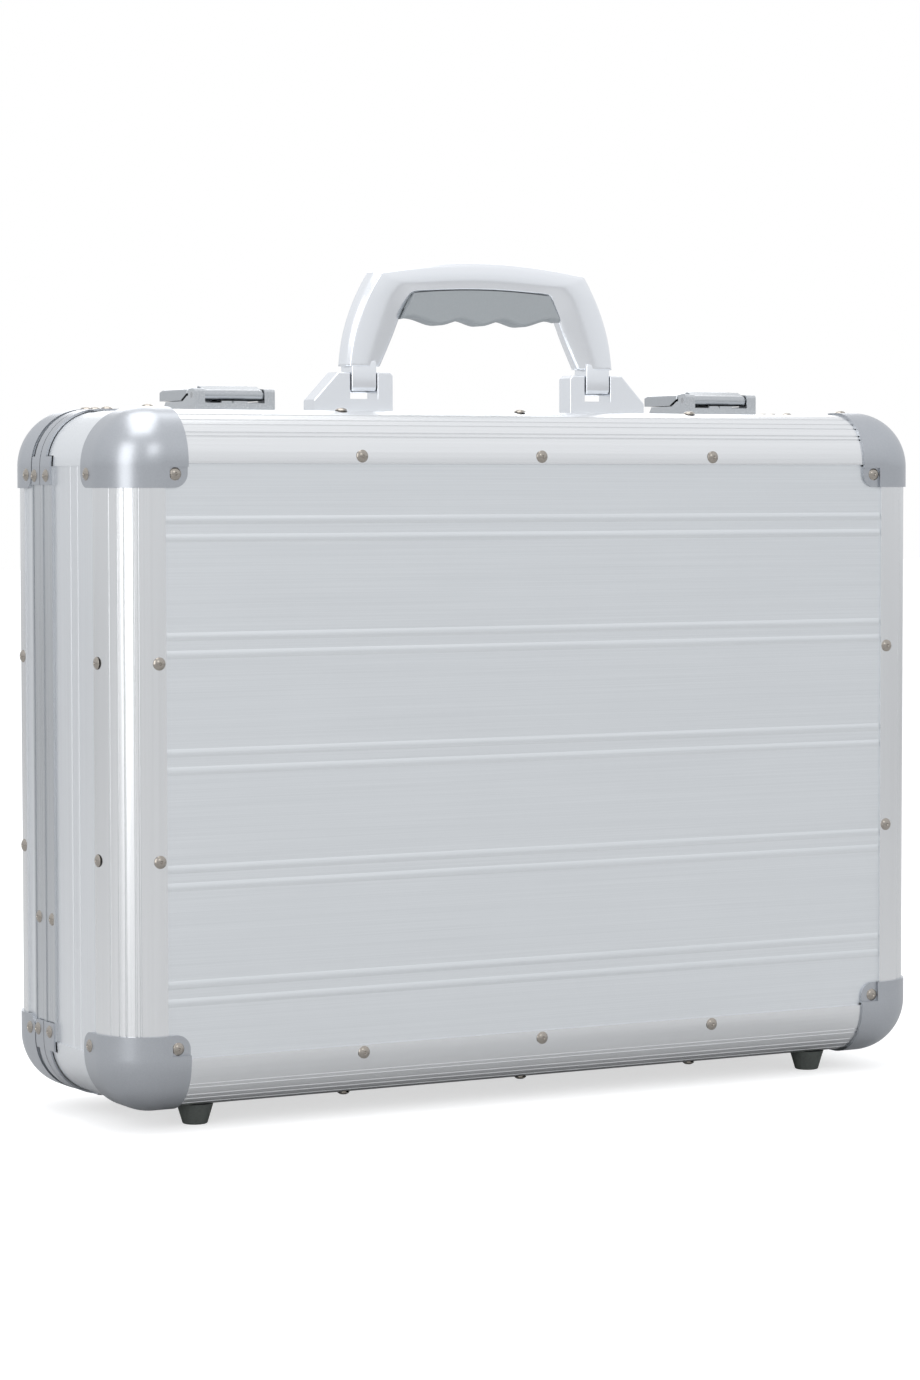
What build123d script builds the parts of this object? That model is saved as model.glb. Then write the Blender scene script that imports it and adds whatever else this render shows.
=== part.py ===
"""Aluminium attache case, standing closed on its rubber feet.

Two shells of ribbed panels in rounded edge rails are hinged along the bottom of the split between
them. Each shell is closed by frame bars at the split, eight pressed caps cover the corners, two lever
latches hold the lid and a folding handle carries the case.

Frame: X along the width, +Z up, base face towards -Y, lid face towards +Y. The origin is on the floor
under the middle of the case. Lengths in mm.
"""

import os
from functools import cache
from math import cos, radians, sin

from build123d import *

os.makedirs("parts", exist_ok=True)

# Case
CASE_W = 460.0
CASE_H = 334.0
BASE_DEPTH = 88.0
LID_DEPTH = 48.0
CORNER_R = 27.0
FOOT_H = 10.0

# Sheet and rails; "inset" is measured inwards from a shell's outer faces
PANEL_T = 3.2
PANEL_INSET = 1.2
PANEL_BITE = 8.0
BEAD_W = 4.0
BEAD_H = 0.28
BEAD_PITCH = 8.5
BEAD_BAND_PITCH = 55.0
BEAD_BANDS = 5
SIDE_BEAD_W = 2.4
SIDE_BEAD_H = 0.5
SIDE_BEAD_DEPTHS = (47.5, 56.0)
RAIL_W = 26.0
RAIL_R = 25.0
RAIL_T = 6.2
RAIL_SLOT_START = 20.0
CHAMBER_WALL = (1.8, 1.4)
CHAMBER_ANGLES = (200, 250)
GROOVE_ANGLES = (28, 33, 44, 52, 63)
GROOVE_R = 0.5
CAP_T = 1.2
CAP_REACH = 37.5
CAP_TAB_R = 7.0
SHEET_START = 28.0
SHEET_INSET = 0.3
SHEET_GAP = 0.45
LINING_INSET = 7.6
LINING_T = 1.5

# Rivets
HEAD_R = 3.1
HEAD_H = 1.3
SHANK_R = 1.6
TAIL_R = 2.1
TAIL_H = 0.6
DIMPLE_R = 0.5
DIMPLE_RISE = 0.9
RAIL_RIVET_INSET = 22.4
RIVETS_UPRIGHT = (-46.8, 46.8)
RIVETS_ACROSS = (-100.0, 0.0, 100.0)
CAP_RIVET_INSET = 31.0

# Closing frames at the split
FRAME_W = 12.5
FRAME_LIP = 1.3
FRAME_CHANNEL = 0.4
SEAL_INSET = 4.0
SEAL_TONGUE = (1.6, 1.2)
SEAL_GROOVE = (2.0, 2.0)
CLOSING_T = 1.0
CLOSING_BAND_W = 6.5
CLOSING_GAP = 0.25
CLOSING_TAB_W = {"base": 12.2, "lid": 9.9}
CLOSING_TAB_END = 36.0
CLOSING_TAB_WRAP = 10.0
CLOSING_RIVET_INSET = 31.5
CLOSING_RIVET_DEPTH = 7.2

# Feet
FOOT_X = 177.4
FOOT_DEPTH = 28.4
FOOT_BOTTOM_R = 6.0
FOOT_TOP_R = 9.0

# Lid hinge
HINGE_DROP = 2.6
HINGE_X = 130.0
HINGE_LENGTH = 50.0
KNUCKLES = 5
KNUCKLE_R = 2.4
LEAF_W = 12.0
LEAF_T = 1.0
LEAF_RIVET_OFFSET = 16.0
LEAF_RIVET_DEPTH = 7.5
HINGE_PIN_R = 1.2
RUNNING_FIT = 0.05

# Handle
HANDLE_Y = -2.0
PIVOT_RISE = 14.2
TONGUE_X = (61.0, 74.8)
HANDLE_T = 14.0
HANDLE_OUTER = [(77.5, 23.0), (75.8, 36.0), (72.0, 49.0), (66.0, 62.0), (61.0, 70.6)]
HANDLE_INNER = [(57.4, 23.0), (53.4, 31.0), (49.6, 39.0), (46.4, 47.0)]
HANDLE_APEX = 76.0
HANDLE_FILLET = 2.4
GRIP_END = (39.6, 60.6)
GRIP_TOP = 62.6
GRIP_SEAM = 0.4
GRIP_ROOT_SHARE = 0.6
GRIP_CREST = 46.9
GRIP_BUMP = 44.3
GRIP_PITCH = 23.2
TONGUE_T = 12.0
TONGUE_FOOT = 4.3
BRACKET_T = 12.0
BRACKET_X = (51.5, 95.7)
BRACKET_SLOT = (60.3, 75.5)
BRACKET_SLOT_FLOOR = 6.7
BRACKET_RISE = 20.0
BRACKET_SHOULDER_X = 82.4
BRACKET_END_RISE = 6.2
HANDLE_PIN_R = 2.0
HANDLE_PIN_X = 68.75
HANDLE_PIN_LENGTH = 30.5

# Latches; "behind" is measured from the split towards the lid, "rise" from the top of the case
LATCH_X = 141.0
LATCH_W = 43.4
LATCH_FRONT = -31.7
LEVER_PIN_BEHIND = -28.0
LEVER_PIN_RISE = 7.8
CLAW_PIN_BEHIND = -12.0
CLAW_PIN_RISE = 6.4
CLAW_PIN_R = 1.2
LATCH_PIN_R = 1.5
CHEEK_X = (16.1, LATCH_W / 2)
CHEEK_BACK = -24.0
CHEEK_RISE = 10.9
TRAY_FRONT_RISE = 3.9
TRAY_RISE = 4.9
TRAY_WALL = 1.2
TRAY_END = 5.0
TRAY_PEAK = (-22.6, 7.4)
BARREL_R = 2.7
LEVER_X = 15.6
LEVER_FRONT = -22.4
LEVER_TIP = 9.7
LEVER_WALL = 1.4
SKIRT_RISE = 5.3
SKIRT_START = -15.4
SKIRT_FRONT_RISE = 8.8
LEVER_CROWN = 13.2
LEVER_EDGE_RISE = 10.6
CLAW_HALF_W = 4.8
CATCH_HALF_W = 6.0
CATCH_BEHIND = (1.2, 11.8)
CATCH_LIP = (1.2, 2.8)

# Lid stays
STAY_Z = 96.6
STAY_OFFSET = 8.0
STAY_LINK = 78.0
STAY_T = 1.2
STAY_W = 9.0
STAY_HEAD_R = 2.8
STAY_HEAD_T = 0.8
STAY_COLLAR_R = 2.6
STAY_INSET = {"base": 7.7, "lid": 9.2}

CASE_D = BASE_DEPTH + LID_DEPTH
FACE_Y = -CASE_D / 2
SPLIT_Y = FACE_Y + BASE_DEPTH
TOP_Z = FOOT_H + CASE_H
MID_Z = FOOT_H + CASE_H / 2
HINGE_Z = FOOT_H - HINGE_DROP
INNER_FACE = PANEL_INSET + PANEL_T


class Half:
    """One shell. Depth runs from its outer face towards the split."""

    def __init__(self, name, face_y, inward, depth):
        self.name = name
        self.face_y = face_y
        self.inward = inward
        self.depth = depth

    def y(self, depth):
        return self.face_y + self.inward * depth


BASE = Half("base", FACE_Y, 1, BASE_DEPTH)
LID = Half("lid", -FACE_Y, -1, LID_DEPTH)
SIDES = {
    "top": Vector(0, 0, 1),
    "bottom": Vector(0, 0, -1),
    "left": Vector(-1, 0, 0),
    "right": Vector(1, 0, 0),
}
CORNERS = {
    "top_left": (-1, 1),
    "top_right": (1, 1),
    "bottom_left": (-1, -1),
    "bottom_right": (1, -1),
}


def save(builder, name):
    builder.part.label = name
    export_step(builder.part, f"parts/{name}.step")


# Places on the case -------------------------------------------------------------------------------


def reach(normal):
    """Distance from the middle of the case to the outer face that this normal points out of."""
    return CASE_W / 2 if normal.X else CASE_H / 2


def run(normal):
    """Half the straight length of that side, between its rounded corners."""
    return (CASE_H if normal.X else CASE_W) / 2 - CORNER_R


def along_side(normal):
    return Vector(0, 0, 1) if normal.X else Vector(1, 0, 0)


def section_plane(half, normal):
    """Cross-section of one side: local x is the depth, local y the inset from the side's face."""
    depth_dir = Vector(0, half.inward, 0)
    corner = Vector(0, half.face_y, MID_Z) + normal * reach(normal)
    return Plane(origin=corner, x_dir=depth_dir, z_dir=depth_dir.cross(-normal))


def face_plane(half, depth):
    """Plane parallel to the shell's face at a depth, its normal pointing out of the case."""
    return Plane(origin=(0, half.y(depth), MID_Z), x_dir=(1, 0, 0), z_dir=(0, -half.inward, 0))


def side_seat(half, normal, along, depth, height=0.0):
    """Seat of a fastener on a side: its normal points out, height is above the outer face."""
    origin = Vector(0, half.y(depth), MID_Z) + normal * (reach(normal) + height)
    return Plane(origin=origin + along_side(normal) * along, z_dir=normal)


def face_seat(half, x, z, height=0.0):
    return Plane(origin=(x, half.y(-height), MID_Z + z), z_dir=(0, -half.inward, 0))


def rail_seats(half, normal):
    """Rivet seats of one rail, on the face and on the side."""
    places = RIVETS_UPRIGHT if normal.X else RIVETS_ACROSS
    inset = normal * (reach(normal) - RAIL_RIVET_INSET)
    seats = []
    for place in places:
        on_face = inset + along_side(normal) * place
        seats.append(face_seat(half, on_face.X, on_face.Z))
        seats.append(side_seat(half, normal, place, RAIL_RIVET_INSET))
    return seats


def cap_face_seat(half, sx, sz):
    return face_seat(half, sx * (CASE_W / 2 - CAP_RIVET_INSET), sz * (CASE_H / 2 - CAP_RIVET_INSET))


def cap_side_seats(half, sx, sz):
    on_x = side_seat(half, Vector(sx, 0, 0), sz * (CASE_H / 2 - CAP_RIVET_INSET), CAP_RIVET_INSET, CAP_T)
    on_z = side_seat(half, Vector(0, 0, sz), sx * (CASE_W / 2 - CAP_RIVET_INSET), CAP_RIVET_INSET, CAP_T)
    return [on_x, on_z]


def closing_seats(half, sx, sz):
    """Rivet seats of one closing corner, on the tabs that lap the frame bars."""
    depth = half.depth - CLOSING_RIVET_DEPTH
    inset = CLOSING_RIVET_INSET
    on_x = side_seat(half, Vector(sx, 0, 0), sz * (CASE_H / 2 - inset), depth, CLOSING_T)
    on_z = side_seat(half, Vector(0, 0, sz), sx * (CASE_W / 2 - inset), depth, CLOSING_T)
    return [on_x, on_z]


def corner_seats_on(half, normal, seats_of):
    """Of the seats at the four corners, those that lie on one side."""
    index = 0 if normal.X else 1
    on_side = [(sx, sz) for sx, sz in CORNERS.values() if normal.X == sx or normal.Z == sz]
    return [seats_of(half, sx, sz)[index] for sx, sz in on_side]


def stay_seat(half, sx):
    return side_seat(half, Vector(sx, 0, 0), STAY_Z - MID_Z, half.depth - STAY_OFFSET, -FRAME_CHANNEL)


def hinge_seats(half):
    """Rivet seats under the hinge leaves."""
    seats = []
    for hinge_x in (-HINGE_X, HINGE_X):
        for along in (hinge_x - LEAF_RIVET_OFFSET, hinge_x + LEAF_RIVET_OFFSET):
            seats.append(side_seat(half, SIDES["bottom"], along, half.depth - LEAF_RIVET_DEPTH, LEAF_T))
    return seats


def drill(seats):
    """Cut the shank holes of rivets through the part being built."""
    with Locations(*seats):
        Cylinder(SHANK_R, 30, mode=Mode.SUBTRACT)


# Fasteners ----------------------------------------------------------------------------------------


def turned_fastener(below_head):
    """Fastener turned about local Z: a dimpled dome, then the points that follow it down to the axis."""
    dome_start = (DIMPLE_R * 1.5, HEAD_H - 0.05)
    dome_end = (HEAD_R, 0.1)
    with BuildPart() as body:
        with BuildSketch(Plane.XZ):
            with BuildLine():
                Polyline((0, DIMPLE_RISE), (DIMPLE_R, DIMPLE_RISE), dome_start)
                ThreePointArc(dome_start, (2.2, 0.85), dome_end)
                Polyline(dome_end, (HEAD_R, 0), (SHANK_R, 0), *below_head, (0, DIMPLE_RISE))
            make_face()
        revolve(axis=Axis.Z)
    return body.part


@cache
def rivet(grip):
    """Domed rivet, seated on its local XY plane and set through a stack this thick."""
    end = -grip - TAIL_H
    return turned_fastener([(SHANK_R, -grip), (TAIL_R, -grip), (TAIL_R, end), (0, end)])


@cache
def stay_pin(link_start):
    """Stay rivet: domed outside, with a collar, a journal for the link and an inner head."""
    wall = RAIL_T - FRAME_CHANNEL
    link_in = link_start - FRAME_CHANNEL
    link_out = link_in + STAY_T + 0.1
    end = -link_out - STAY_HEAD_T
    return turned_fastener([
        (SHANK_R, -wall), (STAY_COLLAR_R, -wall), (STAY_COLLAR_R, -link_in + 0.1), (SHANK_R, -link_in + 0.1),
        (SHANK_R, -link_out), (STAY_HEAD_R, -link_out), (STAY_HEAD_R, end), (0, end),
    ])


def make_rivets(half):
    corners = CORNERS.values()
    groups = [
        (rivet(RAIL_T + 0.6), [seat for normal in SIDES.values() for seat in rail_seats(half, normal)]),
        (rivet(INNER_FACE), [cap_face_seat(half, sx, sz) for sx, sz in corners]),
        (rivet(INNER_FACE + CAP_T), [seat for sx, sz in corners for seat in cap_side_seats(half, sx, sz)]),
        (rivet(RAIL_T + CLOSING_T), [seat for sx, sz in corners for seat in closing_seats(half, sx, sz)]),
        (rivet(RAIL_T + LEAF_T), hinge_seats(half)),
        (stay_pin(STAY_INSET[half.name]), [stay_seat(half, sx) for sx in (-1, 1)]),
    ]
    with BuildPart() as rivets:
        for template, seats in groups:
            with Locations(*seats):
                add(template, clean=False)
    save(rivets, f"{half.name}_rivets")


# Panels and rails ---------------------------------------------------------------------------------


def make_face_panel(half):
    """Face panel with five bands of two raised beads."""
    outer = face_plane(half, PANEL_INSET)
    length = CASE_W - 2 * RAIL_W - 1.0
    middle_band = (BEAD_BANDS - 1) / 2
    with BuildPart() as panel:
        with BuildSketch(outer):
            Rectangle(CASE_W - 2 * RAIL_SLOT_START, CASE_H - 2 * RAIL_SLOT_START)
        extrude(amount=-PANEL_T)
        for band in range(BEAD_BANDS):
            for offset in (-BEAD_PITCH / 2, BEAD_PITCH / 2):
                z = MID_Z + BEAD_BAND_PITCH * (band - middle_band) + offset
                origin = (0, outer.origin.Y, z)
                bead_plane = Plane(origin=origin, x_dir=(0, -half.inward, 0), z_dir=(1, 0, 0))
                with BuildSketch(bead_plane):
                    with BuildLine():
                        ThreePointArc((0, -BEAD_W / 2), (BEAD_H, 0), (0, BEAD_W / 2))
                        Line((0, BEAD_W / 2), (0, -BEAD_W / 2))
                    make_face()
                extrude(amount=length / 2, both=True)
        drill([seat for normal in SIDES.values() for seat in rail_seats(half, normal)[::2]])
        drill([cap_face_seat(half, sx, sz) for sx, sz in CORNERS.values()])
    save(panel, f"{half.name}_face_panel")


def make_side_panel(half, side):
    """Side strip between rail and closing frame, with two beads where the strip is wide enough."""
    normal = SIDES[side]
    plane = section_plane(half, normal)
    end = half.depth - PANEL_BITE
    with BuildPart() as panel:
        with BuildSketch(plane):
            with Locations(((RAIL_SLOT_START + end) / 2, PANEL_INSET + PANEL_T / 2)):
                Rectangle(end - RAIL_SLOT_START, PANEL_T)
            if half is BASE:
                for depth in SIDE_BEAD_DEPTHS:
                    start = (depth - SIDE_BEAD_W / 2, PANEL_INSET)
                    finish = (depth + SIDE_BEAD_W / 2, PANEL_INSET)
                    with BuildLine():
                        ThreePointArc(start, (depth, PANEL_INSET - SIDE_BEAD_H), finish)
                        Line(finish, start)
                    make_face()
        extrude(amount=run(normal), both=True)
        drill(rail_seats(half, normal)[1::2])
        drill(corner_seats_on(half, normal, cap_side_seats))
        drill(corner_seats_on(half, normal, closing_seats))
        if normal.X:
            drill([stay_seat(half, normal.X)])
        if side == "bottom":
            drill(hinge_seats(half))
    save(panel, f"{half.name}_{side}_panel")


def rail_section(plane):
    """Quarter-round extrusion with a slot for each panel, a hollow chamber and fine grooves."""
    inner_r = RAIL_R - RAIL_T
    centre = (RAIL_R, RAIL_R)
    slot_middle = (RAIL_SLOT_START + RAIL_W) / 2
    slot_length = RAIL_W - RAIL_SLOT_START
    chamber_outer = RAIL_R - CHAMBER_WALL[0]
    chamber_inner = inner_r + CHAMBER_WALL[1]
    with BuildSketch(plane) as section:
        with BuildLine():
            Polyline((RAIL_R, 0), (RAIL_W, 0), (RAIL_W, RAIL_T), (RAIL_R, RAIL_T))
            CenterArc(centre, inner_r, 180, 90)
            Polyline((RAIL_T, RAIL_R), (RAIL_T, RAIL_W), (0, RAIL_W), (0, RAIL_R))
            CenterArc(centre, RAIL_R, 180, 90)
        make_face()
        with Locations((slot_middle, PANEL_INSET + PANEL_T / 2)):
            Rectangle(slot_length, PANEL_T, mode=Mode.SUBTRACT)
        with Locations((PANEL_INSET + PANEL_T / 2, slot_middle)):
            Rectangle(PANEL_T, slot_length, mode=Mode.SUBTRACT)
        with BuildLine():
            for radius in (chamber_outer, chamber_inner):
                CenterArc(centre, radius, CHAMBER_ANGLES[0], CHAMBER_ANGLES[1] - CHAMBER_ANGLES[0])
            for angle in CHAMBER_ANGLES:
                Line(rail_point(chamber_outer, angle), rail_point(chamber_inner, angle))
        make_face(mode=Mode.SUBTRACT)
        grooves = [rail_point(RAIL_R, 180 + angle) for angle in GROOVE_ANGLES]
        with Locations(*grooves):
            Circle(GROOVE_R, mode=Mode.SUBTRACT)
    return section.sketch


def rail_point(radius, angle):
    """Point of the rail section on a circle about the centre of its quarter round."""
    return (RAIL_R + radius * cos(radians(angle)), RAIL_R + radius * sin(radians(angle)))


def make_rail(half, side):
    normal = SIDES[side]
    with BuildPart() as rail:
        extrude(rail_section(section_plane(half, normal)), amount=run(normal) - 0.5, both=True)
        drill(rail_seats(half, normal))
    save(rail, f"{half.name}_{side}_rail")


# Corners ------------------------------------------------------------------------------------------


def at_corner(piece, half, sx, sz):
    """Copy of a corner piece modelled in the positive octant, mirrored into one corner of a shell."""
    if sx > 0:
        piece = piece.mirror(Plane.YZ)
    if half.inward < 0:
        piece = piece.mirror(Plane.XZ)
    if sz > 0:
        piece = piece.mirror(Plane.XY)
    return piece.moved(Location((sx * CASE_W / 2, half.face_y, MID_Z + sz * CASE_H / 2)))


def corner_block(stand_off, size):
    """Corner of the case in the positive octant, its three faces standing off by stand_off."""
    with BuildPart() as block:
        with Locations((-stand_off, -stand_off, -stand_off)):
            Box(size, size, size, align=(Align.MIN, Align.MIN, Align.MIN))
        upright = block.edges().filter_by(Axis.Y).group_by(Axis.X)[0].group_by(Axis.Z)[0]
        fillet(upright, CORNER_R + stand_off)
        front = block.faces().sort_by(Axis.Y)[0]
        far = size - stand_off - 1.0
        rim = [edge for edge in front.edges() if max(edge.center().X, edge.center().Z) < far]
        fillet(rim, RAIL_R + stand_off)
    return block.part


def cap_outline(plane):
    """Outline of a cap on one face, measured from the case's two other faces."""
    tab_start = CAP_REACH - CAP_TAB_R
    with BuildSketch(plane) as outline:
        with BuildLine():
            Polyline((-6, CAP_REACH), (-6, -6), (CAP_REACH, -6), (CAP_REACH, tab_start))
            CenterArc((tab_start, tab_start), CAP_TAB_R, 0, 90)
            Line((tab_start, CAP_REACH), (-6, CAP_REACH))
        make_face()
    return outline.sketch


def tab_region(plane, start):
    """Square that holds a cap's rivet tab, from start outwards in both directions."""
    size = 80.0
    with BuildSketch(plane) as region:
        with Locations((start + size / 2, start + size / 2)):
            Rectangle(size, size)
    return region.sketch


def make_cap():
    """Pressed corner cap: sheet over the rounded corner, with a rivet tab on each face."""
    face = Plane(origin=(0, 0, 0), x_dir=(0, 0, 1), z_dir=(0, 1, 0))
    side = Plane(origin=(0, 0, 0), x_dir=(0, 1, 0), z_dir=(1, 0, 0))
    top = Plane(origin=(0, 0, 0), x_dir=(1, 0, 0), z_dir=(0, 0, 1))
    with BuildPart() as outline:
        for plane in (face, side, top):
            extrude(cap_outline(plane.offset(-2 * CAP_T)), amount=RAIL_W + 2 * CAP_T)
    with BuildPart() as pads:
        for plane in (face, side, top):
            extrude(cap_outline(plane), amount=PANEL_INSET)
    with BuildPart() as tabs:
        for plane in (face, side, top):
            extrude(tab_region(plane, RAIL_W + 1.05), amount=PANEL_INSET)
        add(pads.part, mode=Mode.INTERSECT)
        with Locations((0, 35.3, 0)):
            Box(200, 200, 200, align=(Align.CENTER, Align.MIN, Align.CENTER), mode=Mode.SUBTRACT)
    with BuildPart() as cap:
        add(corner_block(CAP_T, 70.0))
        add(corner_block(0.0, 90.0), mode=Mode.SUBTRACT)
        add(outline.part, mode=Mode.INTERSECT)
        add(tabs.part)
        extrude(tab_region(face.offset(-CAP_T), RAIL_W + 1.7), amount=CAP_T, mode=Mode.SUBTRACT)
        seats = [plane * Location((CAP_RIVET_INSET, CAP_RIVET_INSET, 0)) for plane in (face, side, top)]
        with Locations(*seats):
            Cylinder(SHANK_R, 10, mode=Mode.SUBTRACT)
    return cap.part


def quarter_band(plane, outer_r, inner_r):
    """Ring sector round a corner of the case, drawn in the positive octant."""
    with BuildSketch(plane) as band:
        with BuildLine():
            CenterArc((CORNER_R, CORNER_R), outer_r, 180, 90)
            CenterArc((CORNER_R, CORNER_R), inner_r, 180, 90)
            Line((CORNER_R - outer_r, CORNER_R), (CORNER_R - inner_r, CORNER_R))
            Line((CORNER_R, CORNER_R - outer_r), (CORNER_R, CORNER_R - inner_r))
        make_face()
    return band.sketch


def make_corner_sheets(half):
    """Curved sheets between neighbouring side panels, notched round the closing corners' tabs."""
    end = half.depth - CLOSING_GAP - CLOSING_BAND_W - SHEET_GAP
    notch_w = CLOSING_TAB_W[half.name] - CLOSING_BAND_W + SHEET_GAP
    notch_l = CORNER_R * radians(CLOSING_TAB_WRAP) + SHEET_GAP
    with BuildPart() as sheet:
        extrude(
            quarter_band(Plane.XZ.offset(-SHEET_START), CORNER_R - SHEET_INSET, CORNER_R - INNER_FACE),
            amount=SHEET_START - end,
        )
        for corner in ((-1, CORNER_R - notch_l), (CORNER_R - notch_l, -1)):
            with Locations((corner[0], end - notch_w, corner[1])):
                Box(notch_l + 1, notch_w + 1, notch_l + 1, align=Align.MIN, mode=Mode.SUBTRACT)
    with BuildPart() as sheets:
        for sx, sz in CORNERS.values():
            add(at_corner(sheet.part, half, sx, sz), clean=False)
    save(sheets, f"{half.name}_corner_sheets")


# Closing frames -----------------------------------------------------------------------------------


def frame_bar(half, side):
    """One bar: bright lips with a channel between them outside, and a slot that grips the panel."""
    normal = SIDES[side]
    inner_edge = half.depth - FRAME_W
    panel_end = half.depth - PANEL_BITE
    with BuildPart() as bar:
        with BuildSketch(section_plane(half, normal)):
            with Locations((half.depth - FRAME_W / 2, RAIL_T / 2)):
                Rectangle(FRAME_W, RAIL_T)
            with Locations((half.depth - FRAME_W / 2, FRAME_CHANNEL / 2)):
                Rectangle(FRAME_W - 2 * FRAME_LIP, FRAME_CHANNEL, mode=Mode.SUBTRACT)
            with Locations(((inner_edge + panel_end) / 2, PANEL_INSET + PANEL_T / 2)):
                Rectangle(panel_end - inner_edge, PANEL_T, mode=Mode.SUBTRACT)
            if half is BASE:
                with Locations((half.depth + SEAL_TONGUE[0] / 2, SEAL_INSET)):
                    Rectangle(*SEAL_TONGUE)
            else:
                with Locations((half.depth - SEAL_GROOVE[0] / 2, SEAL_INSET)):
                    Rectangle(*SEAL_GROOVE, mode=Mode.SUBTRACT)
        extrude(amount=run(normal), both=True)
        drill(corner_seats_on(half, normal, closing_seats))
        if normal.X:
            drill([stay_seat(half, normal.X)])
        if side == "bottom":
            drill(hinge_seats(half))
    return bar.part


def make_closing_frame(half):
    """Four frame bars round the split; a tongue on the base's bars enters a groove in the lid's."""
    with BuildPart() as frame:
        for side in SIDES:
            add(frame_bar(half, side), clean=False)
    save(frame, f"{half.name}_closing_frame")


def wrap_sectors(plane):
    """Sectors of a corner's arc, one at each end, that the closing corners' tabs cover."""
    radius = CORNER_R + CLOSING_T + 1
    near, far = radius * sin(radians(CLOSING_TAB_WRAP)), radius * cos(radians(CLOSING_TAB_WRAP))
    centre = (CORNER_R, CORNER_R)
    with BuildSketch(plane) as sectors:
        for straight, tip in (((radius, 0), (far, near)), ((0, radius), (near, far))):
            corners = [(CORNER_R - x, CORNER_R - y) for x, y in (straight, tip)]
            with BuildLine():
                Polyline(centre, *corners, centre)
            make_face()
    return sectors.sketch


def make_closing_corners(half):
    """Pressed bands round the corners of the split, with a rivet tab on each side."""
    tab_w = CLOSING_TAB_W[half.name]
    band_end = half.depth - CLOSING_GAP
    outer_r = CORNER_R + CLOSING_T
    tab_length = CLOSING_TAB_END - CORNER_R
    tab_middle = (CLOSING_TAB_END + CORNER_R) / 2
    tab_plane_x = Plane(origin=(-CLOSING_T, 0, 0), x_dir=(0, 1, 0), z_dir=(1, 0, 0))
    tab_plane_z = Plane(origin=(0, 0, -CLOSING_T), x_dir=(1, 0, 0), z_dir=(0, 0, 1))
    tab_start = Plane.XZ.offset(tab_w - band_end)
    with BuildPart() as wrapped:
        extrude(quarter_band(tab_start, outer_r, CORNER_R), amount=-tab_w)
        extrude(wrap_sectors(tab_start), amount=-tab_w, mode=Mode.INTERSECT)
    with BuildPart() as corner:
        band_start = Plane.XZ.offset(CLOSING_BAND_W - band_end)
        extrude(quarter_band(band_start, outer_r, CORNER_R), amount=-CLOSING_BAND_W)
        add(wrapped.part)
        with BuildSketch(tab_plane_x):
            with Locations((band_end - tab_w / 2, tab_middle)):
                Rectangle(tab_w, tab_length)
        extrude(amount=CLOSING_T)
        with BuildSketch(tab_plane_z):
            with Locations((tab_middle, band_end - tab_w / 2)):
                Rectangle(tab_length, tab_w)
        extrude(amount=CLOSING_T)
        rivet_depth = half.depth - CLOSING_RIVET_DEPTH
        with Locations(
            tab_plane_x * Location((rivet_depth, CLOSING_RIVET_INSET, 0)),
            tab_plane_z * Location((CLOSING_RIVET_INSET, rivet_depth, 0)),
        ):
            Cylinder(SHANK_R, 10, mode=Mode.SUBTRACT)
    with BuildPart() as corners:
        for sx, sz in CORNERS.values():
            add(at_corner(corner.part, half, sx, sz), clean=False)
    save(corners, f"{half.name}_closing_corners")


# Feet and lining ----------------------------------------------------------------------------------


def make_feet(half):
    """Conical rubber feet under the shell."""
    foot_y = half.y(FOOT_DEPTH)
    with BuildPart() as feet:
        with Locations((-FOOT_X, foot_y, FOOT_H / 2), (FOOT_X, foot_y, FOOT_H / 2)):
            Cone(FOOT_BOTTOM_R, FOOT_TOP_R, FOOT_H)
        fillet(feet.edges().filter_by(GeomType.CIRCLE).group_by(Axis.Z)[0], 0.7)
    save(feet, f"{half.name}_feet")


def make_lining(half):
    """Fabric lining, a shallow tray against the inside of the panels."""
    mouth = half.depth - FRAME_W - 1.0
    with BuildPart() as lining:
        with BuildSketch(face_plane(half, LINING_INSET)):
            RectangleRounded(CASE_W - 2 * LINING_INSET, CASE_H - 2 * LINING_INSET, CORNER_R - LINING_INSET)
        extrude(amount=-(mouth - LINING_INSET))
        inset = LINING_INSET + LINING_T
        with BuildSketch(face_plane(half, inset)):
            RectangleRounded(CASE_W - 2 * inset, CASE_H - 2 * inset, CORNER_R - inset)
        extrude(amount=-mouth, mode=Mode.SUBTRACT)
        backs = lining.faces().filter_by(Axis.Y).sort_by(Axis.Y, reverse=half is LID)
        fillet(backs[0].edges(), RAIL_R - LINING_INSET + 0.8)
        fillet(backs[1].edges(), RAIL_R - inset + 0.8)
    save(lining, f"{half.name}_lining")


# Lid hinges ---------------------------------------------------------------------------------------


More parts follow.
